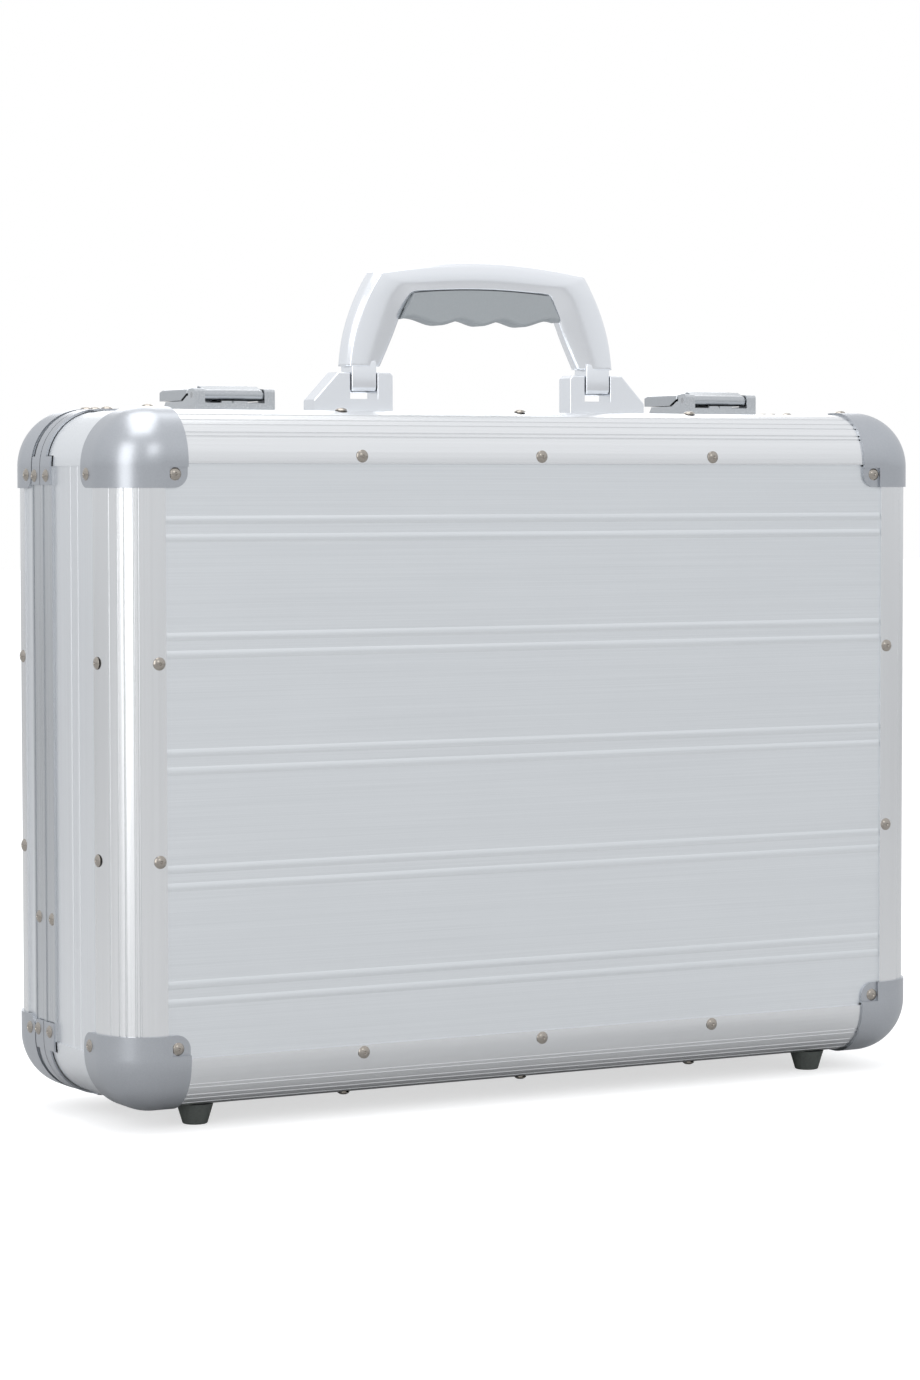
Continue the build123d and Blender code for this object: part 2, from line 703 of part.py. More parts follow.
def hinge_leaf(half, hinge_x):
    """One leaf, riveted under the closing frame, with its share of the five knuckles."""
    pitch = HINGE_LENGTH / KNUCKLES
    own = range(0, KNUCKLES, 2) if half is BASE else range(1, KNUCKLES, 2)
    bore = HINGE_PIN_R if half is BASE else HINGE_PIN_R + RUNNING_FIT
    relief = KNUCKLE_R + 0.5
    back = -half.inward
    with BuildPart() as leaf:
        with Locations((hinge_x, SPLIT_Y + back * (LEAF_W + relief) / 2, FOOT_H - LEAF_T / 2)):
            Box(HINGE_LENGTH - 0.4, LEAF_W - relief, LEAF_T)
        for index in own:
            knuckle_x = hinge_x + (index - (KNUCKLES - 1) / 2) * pitch
            with BuildSketch(Plane(origin=(knuckle_x, SPLIT_Y, HINGE_Z), x_dir=(0, 1, 0), z_dir=(1, 0, 0))):
                Circle(KNUCKLE_R)
                with Locations((back * (relief + 0.2) / 2, HINGE_DROP - LEAF_T / 2)):
                    Rectangle(relief + 0.2, LEAF_T)
            extrude(amount=pitch / 2 - 0.1, both=True)
        with Locations(Location((hinge_x, SPLIT_Y, HINGE_Z), (0, 90, 0))):
            Cylinder(bore, HINGE_LENGTH + 2, mode=Mode.SUBTRACT)
        drill(hinge_seats(half))
    return leaf.part


def make_hinge_leaves(half):
    with BuildPart() as leaves:
        for hinge_x in (-HINGE_X, HINGE_X):
            add(hinge_leaf(half, hinge_x), clean=False)
    save(leaves, f"{half.name}_hinge_leaves")


def make_hinge_pins():
    with BuildPart() as pins:
        with Locations(*[Location((x, SPLIT_Y, HINGE_Z), (0, 90, 0)) for x in (-HINGE_X, HINGE_X)]):
            Cylinder(HINGE_PIN_R, HINGE_LENGTH)
    save(pins, "hinge_pins")


# Handle -------------------------------------------------------------------------------------------


def handle_plane():
    """Upright plane along the handle; local x is +X, local y the height above the top of the case."""
    return Plane(origin=(0, HANDLE_Y, TOP_Z), x_dir=(1, 0, 0), z_dir=(0, -1, 0))


def make_handle():
    """Arched handle with a pocket for the grip and a tongue at the foot of each arm."""
    left_outer = [(-x, z) for x, z in HANDLE_OUTER]
    left_inner = [(-x, z) for x, z in HANDLE_INNER]
    left_grip_end = (-GRIP_END[0], GRIP_END[1])
    tongue_w = TONGUE_X[1] - TONGUE_X[0]
    with BuildPart() as handle:
        with BuildSketch(handle_plane()):
            with BuildLine():
                Spline(*HANDLE_OUTER)
                ThreePointArc(HANDLE_OUTER[-1], (0, HANDLE_APEX), left_outer[-1])
                Spline(*reversed(left_outer))
                Line(left_outer[0], left_inner[0])
                Spline(*left_inner)
                Line(left_inner[-1], left_grip_end)
                ThreePointArc(left_grip_end, (0, GRIP_TOP), GRIP_END)
                Line(GRIP_END, HANDLE_INNER[-1])
                Spline(*reversed(HANDLE_INNER))
                Line(HANDLE_INNER[0], HANDLE_OUTER[0])
            make_face()
        extrude(amount=HANDLE_T / 2, both=True)
        faces = handle.faces().filter_by(Axis.Y)
        fillet([edge for face in faces for edge in face.edges()], HANDLE_FILLET)
        for side in (-1, 1):
            middle = side * (TONGUE_X[0] + TONGUE_X[1]) / 2
            plane = Plane(origin=(middle, HANDLE_Y, TOP_Z + PIVOT_RISE), x_dir=(0, 1, 0), z_dir=(1, 0, 0))
            tongue_top = HANDLE_OUTER[0][1] - PIVOT_RISE + 4.0
            with BuildSketch(plane):
                with Locations((0, (tongue_top - TONGUE_FOOT) / 2)):
                    RectangleRounded(TONGUE_T, tongue_top + TONGUE_FOOT, 3.0)
            extrude(amount=tongue_w / 2, both=True)
            with BuildSketch(plane):
                Circle(HANDLE_PIN_R + RUNNING_FIT)
            extrude(amount=tongue_w, both=True, mode=Mode.SUBTRACT)
    save(handle, "handle")


def grip_outline(plane, seam):
    """Outline of the grip, its top and ends drawn back from the handle's pocket by the seam."""
    inner = HANDLE_INNER[-1]
    foot = (inner[0] - seam, inner[1])
    end = (GRIP_END[0] - seam, GRIP_END[1] - seam)
    waves = [(-foot[0], foot[1])]
    for index in range(-1, 2):
        waves += [((index - 0.5) * GRIP_PITCH, GRIP_CREST), (index * GRIP_PITCH, GRIP_BUMP)]
    waves += [(1.5 * GRIP_PITCH, GRIP_CREST), foot]
    with BuildSketch(plane) as outline:
        with BuildLine():
            Line(foot, end)
            ThreePointArc(end, (0, GRIP_TOP - seam), (-end[0], end[1]))
            Line((-end[0], end[1]), waves[0])
            Spline(*waves)
        make_face()
    return outline.sketch


def grip_root(plane):
    """Band along the top and ends of the grip that fills the handle's pocket behind the seam."""
    inner = HANDLE_INNER[-1]
    low = tuple(end + GRIP_ROOT_SHARE * (foot - end) for end, foot in zip(GRIP_END, inner))
    with BuildSketch(plane) as band:
        with BuildLine():
            ThreePointArc(GRIP_END, (0, GRIP_TOP), (-GRIP_END[0], GRIP_END[1]))
            Polyline((-GRIP_END[0], GRIP_END[1]), (-low[0], low[1]), low, GRIP_END)
        make_face()
    return band.sketch


def make_handle_grip():
    """Soft grip in the handle's pocket, with three finger bumps and a seam along its edges."""
    with BuildPart() as grip:
        extrude(grip_outline(handle_plane(), GRIP_SEAM), amount=HANDLE_T / 2 - 1.0, both=True)
        ends = grip.faces().filter_by(Axis.Y)
        rim = [edge for face in ends for edge in face.edges() if edge.center().Z < TOP_Z + 48]
        fillet(rim, 2.0)
        extrude(grip_root(handle_plane()), amount=HANDLE_T / 4, both=True)
    save(grip, "handle_grip")


def make_handle_bracket(side, name):
    """Slotted bracket: a short inner cheek and a longer, chamfered outer cheek."""
    inner_x, outer_x = BRACKET_X
    slot_in, slot_out = BRACKET_SLOT
    with BuildPart() as bracket:
        with BuildSketch(handle_plane()):
            with BuildLine():
                Polyline(
                    (inner_x, -PANEL_INSET), (outer_x, -PANEL_INSET), (outer_x, BRACKET_END_RISE),
                    (BRACKET_SHOULDER_X, BRACKET_RISE),
                    (slot_out, BRACKET_RISE), (slot_out, BRACKET_SLOT_FLOOR), (slot_in, BRACKET_SLOT_FLOOR),
                    (slot_in, BRACKET_RISE), (inner_x + 1.5, BRACKET_RISE), (inner_x, BRACKET_RISE - 1.5),
                    (inner_x, -PANEL_INSET),
                )
            make_face()
        extrude(amount=BRACKET_T / 2, both=True)
        uprights = [e for e in bracket.faces().filter_by(Axis.Y).edges() if e.center().Z > TOP_Z + 7.0]
        fillet(uprights, 0.8)
        with Locations(pivot_location(1)):
            Cylinder(HANDLE_PIN_R, HANDLE_PIN_LENGTH, mode=Mode.SUBTRACT)
    piece = bracket.part if side > 0 else bracket.part.mirror(Plane.YZ)
    with BuildPart() as placed:
        add(piece)
    save(placed, name)


def pivot_location(side):
    return Location((side * HANDLE_PIN_X, HANDLE_Y, TOP_Z + PIVOT_RISE), (0, 90, 0))


def make_handle_pins():
    with BuildPart() as pins:
        with Locations(pivot_location(-1), pivot_location(1)):
            Cylinder(HANDLE_PIN_R, HANDLE_PIN_LENGTH)
    save(pins, "handle_pins")


# Latches ------------------------------------------------------------------------------------------


def latch_plane(side):
    """Upright plane through the middle of a latch; local x runs behind the split, local y is the rise."""
    return Plane(origin=(side * LATCH_X, SPLIT_Y, TOP_Z), x_dir=(0, 1, 0), z_dir=(1, 0, 0))


def latch_box(x_range, behind_range, rise_range, mode=Mode.ADD, side=1):
    """Block given by its spans across the latch, behind the split and above the case."""
    spans = (x_range, behind_range, rise_range)
    middle = [(low + high) / 2 for low, high in spans]
    place = (side * LATCH_X + middle[0], SPLIT_Y + middle[1], TOP_Z + middle[2])
    with Locations(place):
        Box(*[high - low for low, high in spans], mode=mode)


def make_latch_tray(side, name):
    """Latch base: a shallow tray with two cheeks for the lever's pin, open where the claw passes."""
    half_w = LATCH_W / 2
    claw_gap = 7.0
    with BuildPart() as tray:
        with BuildSketch(latch_plane(side)):
            with BuildLine():
                Polyline(
                    (LATCH_FRONT, 0), (-0.4, 0), (-0.4, 0.5), (2.6, 0.5), (TRAY_END, 1.6), (2.6, TRAY_RISE),
                    (-17.6, TRAY_RISE), TRAY_PEAK, (CHEEK_BACK, TRAY_PEAK[1]), (CHEEK_BACK, TRAY_FRONT_RISE),
                    (LATCH_FRONT, TRAY_FRONT_RISE), (LATCH_FRONT, 0),
                )
            make_face()
        extrude(amount=half_w, both=True)
        wall_x = half_w - TRAY_WALL
        hollow = (LATCH_FRONT + TRAY_WALL, TRAY_END + 1)
        latch_box((-wall_x, wall_x), hollow, (1.7, 8.0), Mode.SUBTRACT, side)
        latch_box((-claw_gap, claw_gap), (-3.0, TRAY_END + 1), (-0.5, 8.0), Mode.SUBTRACT, side)
        for x_range in ((-7.2, -1.6), (-0.7, 6.8)):
            latch_box(x_range, (LATCH_FRONT, LATCH_FRONT + TRAY_WALL), (3.0, 4.9), side=side)
        for sign in (-1, 1):
            x_range = sorted((sign * CHEEK_X[0], sign * CHEEK_X[1]))
            latch_box(x_range, (LATCH_FRONT, CHEEK_BACK), (1.0, CHEEK_RISE), side=side)
        crowns = [e for e in tray.edges().filter_by(Axis.X) if e.center().Z > TOP_Z + CHEEK_RISE - 0.1]
        fillet(crowns, 1.6)
        latch_box((-half_w + 1, half_w - 1), (-30.0, -13.0), (-PANEL_INSET, 0.0), side=side)
        with Locations(lever_pin_location(side)):
            Cylinder(LATCH_PIN_R, LATCH_W + 2, mode=Mode.SUBTRACT)
    save(tray, name)


def lever_pin_location(side):
    return Location((side * LATCH_X, SPLIT_Y + LEVER_PIN_BEHIND, TOP_Z + LEVER_PIN_RISE), (0, 90, 0))


def claw_pin_location(side):
    return Location((side * LATCH_X, SPLIT_Y + CLAW_PIN_BEHIND, TOP_Z + CLAW_PIN_RISE), (0, 90, 0))


def make_latch_pins():
    with BuildPart() as pins:
        with Locations(lever_pin_location(-1), lever_pin_location(1)):
            Cylinder(LATCH_PIN_R, LATCH_W)
    save(pins, "latch_hinge_pins")


def lever_block(side, lift):
    """Crowned block with the lever's outer shape; lift moves its surfaces inwards for the hollow."""
    tip = LEVER_TIP - lift
    front = LEVER_FRONT + lift
    half_w = LATCH_W / 2 - lift
    edge = LEVER_EDGE_RISE - lift
    front_plane = Plane(origin=(side * LATCH_X, SPLIT_Y, TOP_Z), x_dir=(1, 0, 0), z_dir=(0, -1, 0))
    with BuildPart() as block:
        with BuildSketch(latch_plane(side)):
            with BuildLine():
                Polyline((front, SKIRT_FRONT_RISE - lift), (SKIRT_START, SKIRT_RISE - 2 * lift))
                Polyline(
                    (SKIRT_START, SKIRT_RISE - 2 * lift), (tip, SKIRT_RISE - 2 * lift), (tip, 10.2 - lift)
                )
                Spline((tip, 10.2 - lift), (0.0, 12.1 - lift), (-15.0, 13.0 - lift), (front, 12.4 - lift))
                Line((front, 12.4 - lift), (front, SKIRT_FRONT_RISE - lift))
            make_face()
        extrude(amount=LATCH_W, both=True)
        with BuildSketch(front_plane):
            with BuildLine():
                Polyline((-half_w, edge), (-half_w, 0), (half_w, 0), (half_w, edge))
                ThreePointArc((half_w, edge), (0, LEVER_CROWN - lift), (-half_w, edge))
            make_face()
        extrude(amount=60, both=True, mode=Mode.INTERSECT)
    return block.part


def make_latch_lever(side, name):
    """Domed cover lever: hollow underneath, with a hinge barrel between the tray's cheeks."""
    with BuildPart() as lever:
        add(lever_block(side, 0.0))
        rim = [e for e in lever.edges() if e.center().Z > TOP_Z + 9.5]
        fillet(rim, 1.0)
        add(lever_block(side, LEVER_WALL), mode=Mode.SUBTRACT)
        with BuildSketch(latch_plane(side)):
            with Locations((LEVER_PIN_BEHIND, LEVER_PIN_RISE)):
                Circle(BARREL_R)
            with BuildLine():
                Polyline(
                    (LEVER_PIN_BEHIND, LEVER_PIN_RISE + BARREL_R), (-23.6, 12.25), (-21.6, 12.3),
                    (-21.6, 10.6), (-23.0, 9.0), (LEVER_PIN_BEHIND + 2.0, LEVER_PIN_RISE - 1.0),
                    (LEVER_PIN_BEHIND, LEVER_PIN_RISE + BARREL_R),
                )
            make_face()
        extrude(amount=LEVER_X, both=True)
        for x_range in ((-7.6, -5.6), (5.6, 7.6)):
            latch_box(x_range, (-15.5, -8.5), (4.4, 12.0), side=side)
        with Locations(lever_pin_location(side)):
            Cylinder(LATCH_PIN_R + RUNNING_FIT, LATCH_W, mode=Mode.SUBTRACT)
        with Locations(claw_pin_location(side)):
            Cylinder(CLAW_PIN_R + RUNNING_FIT, 17.0, mode=Mode.SUBTRACT)
    save(lever, name)


def make_latch_claw(side, name):
    """Draw link under the lever: trunnions at its front and a hook over the lid's catch at its end."""
    with BuildPart() as claw:
        with BuildSketch(latch_plane(side)):
            with BuildLine():
                Polyline(
                    (-13.6, 5.4), (-8.0, 4.6), (4.6, 4.6), (4.6, 1.4), (3.2, 1.4), (3.2, 3.1),
                    (-8.6, 3.1), (-13.6, 4.2), (-13.6, 5.4),
                )
            make_face()
        extrude(amount=CLAW_HALF_W, both=True)
        with BuildSketch(latch_plane(side)):
            with Locations((CLAW_PIN_BEHIND, CLAW_PIN_RISE)):
                Circle(2.2)
            with Locations((CLAW_PIN_BEHIND, 4.6)):
                Rectangle(3.2, 2.4)
        extrude(amount=CLAW_HALF_W, both=True)
        with Locations(claw_pin_location(side)):
            Cylinder(CLAW_PIN_R, 15.2)
    save(claw, name)


def make_latch_catches():
    """Catch plates riveted to the lid's top frame; each has a lip that the claw pulls on."""
    with BuildPart() as catches:
        for side in (-1, 1):
            across = (-CATCH_HALF_W, CATCH_HALF_W)
            lip_end = CATCH_BEHIND[0] + CATCH_LIP[0]
            latch_box(across, CATCH_BEHIND, (0.0, 1.0), side=side)
            latch_box(across, (CATCH_BEHIND[0], lip_end), (0.0, CATCH_LIP[1]), side=side)
    save(catches, "latch_catches")


# Lid stays ----------------------------------------------------------------------------------------


def make_stay_link(half, sx, name):
    """Flat folding link: one end turns on the shell's stay rivet, the other holds half the middle rivet."""
    rise = (STAY_LINK**2 - STAY_OFFSET**2) ** 0.5
    pivot = Vector(sx * (CASE_W / 2 - STAY_INSET[half.name]), half.y(half.depth - STAY_OFFSET), STAY_Z)
    lengthwise = Vector(0, half.inward * STAY_OFFSET, rise)
    plane = Plane(origin=pivot, x_dir=lengthwise, z_dir=(-sx, 0, 0))
    head_plane = plane.offset(-STAY_HEAD_T) if half is BASE else plane.offset(STAY_T)
    with BuildPart() as link:
        with BuildSketch(plane):
            with Locations((STAY_LINK / 2, 0)):
                SlotCenterToCenter(STAY_LINK, STAY_W)
            Circle(SHANK_R + RUNNING_FIT, mode=Mode.SUBTRACT)
        extrude(amount=STAY_T)
        with BuildSketch(head_plane):
            with Locations((STAY_LINK, 0)):
                Circle(STAY_HEAD_R)
        extrude(amount=STAY_HEAD_T)
    save(link, name)


# Assembly -----------------------------------------------------------------------------------------

cap_piece = make_cap()
for shell in (BASE, LID):
    make_face_panel(shell)
    for side_name in SIDES:
        make_side_panel(shell, side_name)
        make_rail(shell, side_name)
    for corner_name, (sign_x, sign_z) in CORNERS.items():
        with BuildPart() as corner_cap:
            add(at_corner(cap_piece, shell, sign_x, sign_z))
        save(corner_cap, f"{shell.name}_cap_{corner_name}")
    make_corner_sheets(shell)
    make_closing_frame(shell)
    make_closing_corners(shell)
    make_rivets(shell)
    make_feet(shell)
    make_lining(shell)
    make_hinge_leaves(shell)
make_hinge_pins()
make_handle()
make_handle_grip()
make_handle_pins()
for sign, word in ((-1, "left"), (1, "right")):
    make_handle_bracket(sign, f"handle_bracket_{word}")
    make_latch_tray(sign, f"latch_tray_{word}")
    make_latch_lever(sign, f"latch_lever_{word}")
    make_latch_claw(sign, f"latch_claw_{word}")
    for shell in (BASE, LID):
        make_stay_link(shell, sign, f"stay_{shell.name}_link_{word}")
make_latch_pins()
make_latch_catches()
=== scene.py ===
"""Looks for the aluminium attache case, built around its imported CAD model. Lengths in metres."""

from math import cos, radians, sin, sqrt

import bmesh
import bpy
from mathutils import Matrix, Vector


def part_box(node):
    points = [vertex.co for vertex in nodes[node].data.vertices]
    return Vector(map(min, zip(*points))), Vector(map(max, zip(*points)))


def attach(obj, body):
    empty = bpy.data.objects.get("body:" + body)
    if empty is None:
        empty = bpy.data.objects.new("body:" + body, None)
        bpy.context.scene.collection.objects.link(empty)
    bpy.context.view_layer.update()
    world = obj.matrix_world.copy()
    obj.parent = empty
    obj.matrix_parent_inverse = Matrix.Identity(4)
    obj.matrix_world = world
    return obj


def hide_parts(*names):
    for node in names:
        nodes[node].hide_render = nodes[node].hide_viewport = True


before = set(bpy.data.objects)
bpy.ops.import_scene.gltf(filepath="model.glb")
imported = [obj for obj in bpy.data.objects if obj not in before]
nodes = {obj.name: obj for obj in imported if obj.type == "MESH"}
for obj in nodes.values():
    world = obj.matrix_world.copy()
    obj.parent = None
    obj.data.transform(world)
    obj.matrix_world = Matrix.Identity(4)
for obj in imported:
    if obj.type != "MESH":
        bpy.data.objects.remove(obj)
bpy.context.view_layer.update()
MM = 0.001

# Materials ----------------------------------------------------------------------------------------


class Graph:
    """A small helper that adds linked nodes to one material."""

    def __init__(self, name):
        self.material = bpy.data.materials.new(name)
        self.material.use_nodes = True
        self.tree = self.material.node_tree
        self.tree.nodes.clear()
        self.out = self.tree.nodes.new("ShaderNodeOutputMaterial")
        self.shader = self.tree.nodes.new("ShaderNodeBsdfPrincipled")
        self.link(self.shader.outputs[0], self.out.inputs["Surface"])

    def link(self, source, target):
        self.tree.links.new(source, target)

    def set(self, **values):
        for name, value in values.items():
            self.shader.inputs[name.replace("_", " ")].default_value = value

    def node(self, kind, **settings):
        made = self.tree.nodes.new("ShaderNode" + kind)
        for name, value in settings.items():
            setattr(made, name, value)
        return made

    def place(self, scale=(1, 1, 1), rotation=(0, 0, 0)):
        """Object coordinates, stretched."""
        where = self.node("TexCoord")
        mapping = self.node("Mapping")
        mapping.inputs["Scale"].default_value = scale
        mapping.inputs["Rotation"].default_value = rotation
        self.link(where.outputs["Object"], mapping.inputs["Vector"])
        return mapping.outputs[0]

    def noise(self, vector, scale, detail=3.0, roughness=0.5):
        made = self.node("TexNoise")
        made.inputs["Scale"].default_value = scale
        made.inputs["Detail"].default_value = detail
        made.inputs["Roughness"].default_value = roughness
        self.link(vector, made.inputs["Vector"])
        return made.outputs["Fac"]

    def ramp(self, value, low, high):
        """Value from 0..1 mapped onto low..high."""
        made = self.node("MapRange")
        made.inputs["From Min"].default_value = 0.3
        made.inputs["From Max"].default_value = 0.7
        made.inputs["To Min"].default_value = low
        made.inputs["To Max"].default_value = high
        self.link(value, made.inputs["Value"])
        return made.outputs[0]

    def tint(self, value, dark, light):
        made = self.node("Mix", data_type="RGBA")
        made.inputs["A"].default_value = (*dark, 1)
        made.inputs["B"].default_value = (*light, 1)
        self.link(self.ramp(value, 0.0, 1.0), made.inputs["Factor"])
        return made.outputs["Result"]

    def bump(self, height, distance, strength=1.0, normal=None):
        made = self.node("Bump")
        made.inputs["Strength"].default_value = strength
        made.inputs["Distance"].default_value = distance
        self.link(height, made.inputs["Height"])
        if normal is not None:
            self.link(normal, made.inputs["Normal"])
        return made.outputs[0]


def metal(name, dark, light, grain, grain_scale, rough, bump=0.000003, metallic=1.0, mottle=0.03):
    """Metal with a stretched grain: grain is the stretch of the noise along each axis."""
    g = Graph(name)
    g.set(Metallic=metallic)
    streaks = g.noise(g.place(scale=grain), grain_scale, 4.0, 0.6)
    blotches = g.noise(g.place(), 22.0, 3.0, 0.5)
    g.link(g.tint(streaks, dark, light), g.shader.inputs["Base Color"])
    mix = g.node("Math", operation="ADD")
    g.link(g.ramp(streaks, rough[0] - mottle / 2, rough[1] - mottle / 2), mix.inputs[0])
    g.link(g.ramp(blotches, 0.0, mottle), mix.inputs[1])
    g.link(mix.outputs[0], g.shader.inputs["Roughness"])
    g.link(g.bump(streaks, bump), g.shader.inputs["Normal"])
    return g.material


ALONG_X = (0.004, 1.0, 1.0)
ALONG_Z = (1.0, 1.0, 0.004)
EVEN = (1.0, 1.0, 1.0)

SHEET = ((0.78, 0.805, 0.825), (0.83, 0.855, 0.875))
SIDE_SHEET = ((0.80, 0.82, 0.84), (0.85, 0.87, 0.89))
EXTRUSION = ((0.80, 0.81, 0.82), (0.84, 0.85, 0.86))

face_sheet = metal("brushed_panel", *SHEET, ALONG_X, 1800, (0.36, 0.42), 0.000002)
side_sheet = metal("side_panel_upright", *SIDE_SHEET, ALONG_Z, 1800, (0.34, 0.40), 0.000002)
top_sheet = metal("side_panel_across", *SIDE_SHEET, ALONG_X, 1800, (0.34, 0.40), 0.000002)
rail_x = metal("rail_across", *EXTRUSION, ALONG_X, 900, (0.24, 0.27), 0.0000006, mottle=0.01)
rail_z = metal("rail_upright", *EXTRUSION, ALONG_Z, 900, (0.24, 0.27), 0.0000006, mottle=0.01)
cap_metal = metal(
    "pressed_cap", (0.46, 0.48, 0.51), (0.50, 0.52, 0.55), EVEN, 1400, (0.30, 0.33), 0.000001, mottle=0.01
)
frame_z = metal(
    "closing_frame_upright", (0.56, 0.58, 0.60), (0.62, 0.64, 0.66), ALONG_Z, 900, (0.26, 0.30)
)
nickel = metal("rivet_nickel", (0.35, 0.32, 0.285), (0.46, 0.425, 0.38), EVEN, 1500, (0.16, 0.24))
silver_paint = metal(
    "silver_paint", (0.87, 0.89, 0.92), (0.91, 0.93, 0.96), EVEN, 5200, (0.20, 0.24), 0.000001, metallic=0.95
)
latch_plate = metal("latch_metal", (0.47, 0.49, 0.51), (0.55, 0.57, 0.59), EVEN, 1500, (0.18, 0.24))
tray_plate = metal("tray_metal", (0.56, 0.58, 0.60), (0.64, 0.66, 0.68), EVEN, 1500, (0.22, 0.28))
steel = metal("zinc_steel", (0.45, 0.46, 0.47), (0.55, 0.56, 0.57), EVEN, 1500, (0.30, 0.40))


def soft_material(name, dark, light, scale, rough, bump):
    g = Graph(name)
    grain = g.noise(g.place(), scale, 4.0, 0.6)
    g.link(g.tint(grain, dark, light), g.shader.inputs["Base Color"])
    g.link(g.ramp(grain, rough[0], rough[1]), g.shader.inputs["Roughness"])
    g.link(g.bump(grain, bump), g.shader.inputs["Normal"])
    return g.material


grip_rubber = soft_material(
    "grip_rubber", (0.34, 0.365, 0.38), (0.40, 0.425, 0.44), 2600, (0.5, 0.62), 0.00003
)
foot_rubber = soft_material(
    "foot_rubber", (0.075, 0.085, 0.078), (0.11, 0.12, 0.11), 900, (0.55, 0.75), 0.00006
)


def velour():
    """Dark brushed lining: short pile seen as fine speckle, with cloudier patches where it is stroked."""
    g = Graph("lining_velour")
    g.set(Sheen_Weight=0.35, Sheen_Roughness=0.5, Sheen_Tint=(0.5, 0.5, 0.52, 1), Specular_IOR_Level=0.2)
    pile = g.noise(g.place(), 3200, 3.0, 0.6)
    strokes = g.noise(g.place(scale=(1.0, 1.0, 0.35)), 26.0, 4.0, 0.55)
    mix = g.node("Math", operation="MULTIPLY_ADD")
    mix.inputs[1].default_value = 0.5
    g.link(pile, mix.inputs[0])
    half = g.node("Math", operation="MULTIPLY")
    half.inputs[1].default_value = 0.5
    g.link(strokes, half.inputs[0])
    g.link(half.outputs[0], mix.inputs[2])
    colour = g.tint(mix.outputs[0], (0.018, 0.018, 0.020), (0.050, 0.050, 0.054))
    g.link(colour, g.shader.inputs["Base Color"])
    g.link(g.ramp(pile, 0.8, 0.95), g.shader.inputs["Roughness"])
    g.link(g.bump(pile, 0.00012), g.shader.inputs["Normal"])
    return g.material


lining_velour = velour()


def is_upright(name):
    return "left" in name or "right" in name


def material_of(name):
    if "rivets" in name:
        return nickel
    if name.endswith("_rail"):
        return rail_z if is_upright(name) else rail_x
    if "_cap_" in name or "closing_corners" in name:
        return cap_metal
    if "closing_frame" in name:
        return frame_z
    if name.endswith("face_panel"):
        return face_sheet
    if name.endswith("panel"):
        return side_sheet if is_upright(name) else top_sheet
    if "corner_sheets" in name:
        return top_sheet
    if "feet" in name:
        return foot_rubber
    if "lining" in name:
        return lining_velour
    if name == "handle_grip":
        return grip_rubber
    if name == "handle" or "bracket" in name:
        return silver_paint
    if "tray" in name:
        return tray_plate
    if "lever" in name:
        return latch_plate
    return steel


for name, obj in nodes.items():
    obj.data.materials.clear()
    obj.data.materials.append(material_of(name))


# Meshes -------------------------------------------------------------------------------------------


def new_piece(name, mesh, material, body):
    """Object around a finished mesh, riding on a body."""
    piece = bpy.data.objects.new(name, mesh)
    bpy.context.scene.collection.objects.link(piece)
    mesh.materials.append(material)
    for face in mesh.polygons:
        face.use_smooth = True
    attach(piece, body)
    return piece


def subdivided(piece, levels):
    modifier = piece.modifiers.new("smooth", "SUBSURF")
    modifier.levels = levels
    modifier.render_levels = levels


def crease_edges(mesh, weights):
    """weights maps pairs of vertex indices to a crease."""
    layer = mesh.attributes.new("crease_edge", "FLOAT", "EDGE")
    for edge in mesh.edges:
        layer.data[edge.index].value = weights.get(tuple(sorted(edge.vertices)), 0.0)


# Handle -------------------------------------------------------------------------------------------

handle_low, handle_high = (Vector(corner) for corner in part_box("handle"))
HANDLE_Y = (handle_low.y + handle_high.y) / 2
HALF_T = (handle_high.y - handle_low.y) / 2
# Outer and inner edge of one arm from its foot up to the corner, as x and rise above the case, in mm
ARM_OUTER = [
    (77.5, 23), (76.9, 29), (75.8, 36), (74.1, 42.8), (72, 49), (69.2, 55.8), (66, 62), (63.6, 66.4),
    (61, 70.6),
]
ARM_INNER = [
    (57.4, 23), (54.9, 28), (52, 34), (49.6, 39.2), (47.8, 43.6), (46.4, 47), (43.6, 53), (41.2, 57.6),
    (39.6, 60.6),
]
# Rise of the bar's upper and lower edge in the middle, and the tongue's lowest and highest corner, in mm
BAR_APEX = 76
BAR_UNDERSIDE = 62.6
TONGUE = ((61.0, -6.3, 9.9), (74.8, 6.3, 26.0))
BAR_STEPS = 5
TOP_Z = handle_high.z - BAR_APEX * MM


def arch(x, reach, end, apex):
    """Rise of a shallow arc that passes through (reach, end) and peaks at apex."""
    radius = (reach**2 + (apex - end) ** 2) / (2 * (apex - end))
    return apex - radius + sqrt(radius**2 - x**2)


def handle_stations():
    """Pairs of outer and inner points along the whole handle, each with how much it is bar, 0 to 1."""
    half = [(outer, inner, 0.0) for outer, inner in zip(ARM_OUTER, ARM_INNER)]
    half[-2] = (*half[-2][:2], 0.35)
    half[-1] = (*half[-1][:2], 0.7)
    (outer_x, outer_z), (inner_x, inner_z) = ARM_OUTER[-1], ARM_INNER[-1]
    for step in range(1, BAR_STEPS):
        share = 1 - step / BAR_STEPS
        outer = (outer_x * share, arch(outer_x * share, outer_x, outer_z, BAR_APEX))
        inner = (inner_x * share, arch(inner_x * share, inner_x, inner_z, BAR_UNDERSIDE))
        half.append((outer, inner, 1.0))
    middle = [((0, BAR_APEX), (0, BAR_UNDERSIDE), 1.0)]
    other = [((-o[0], o[1]), (-i[0], i[1]), bar) for o, i, bar in reversed(half)]
    return half + middle + other


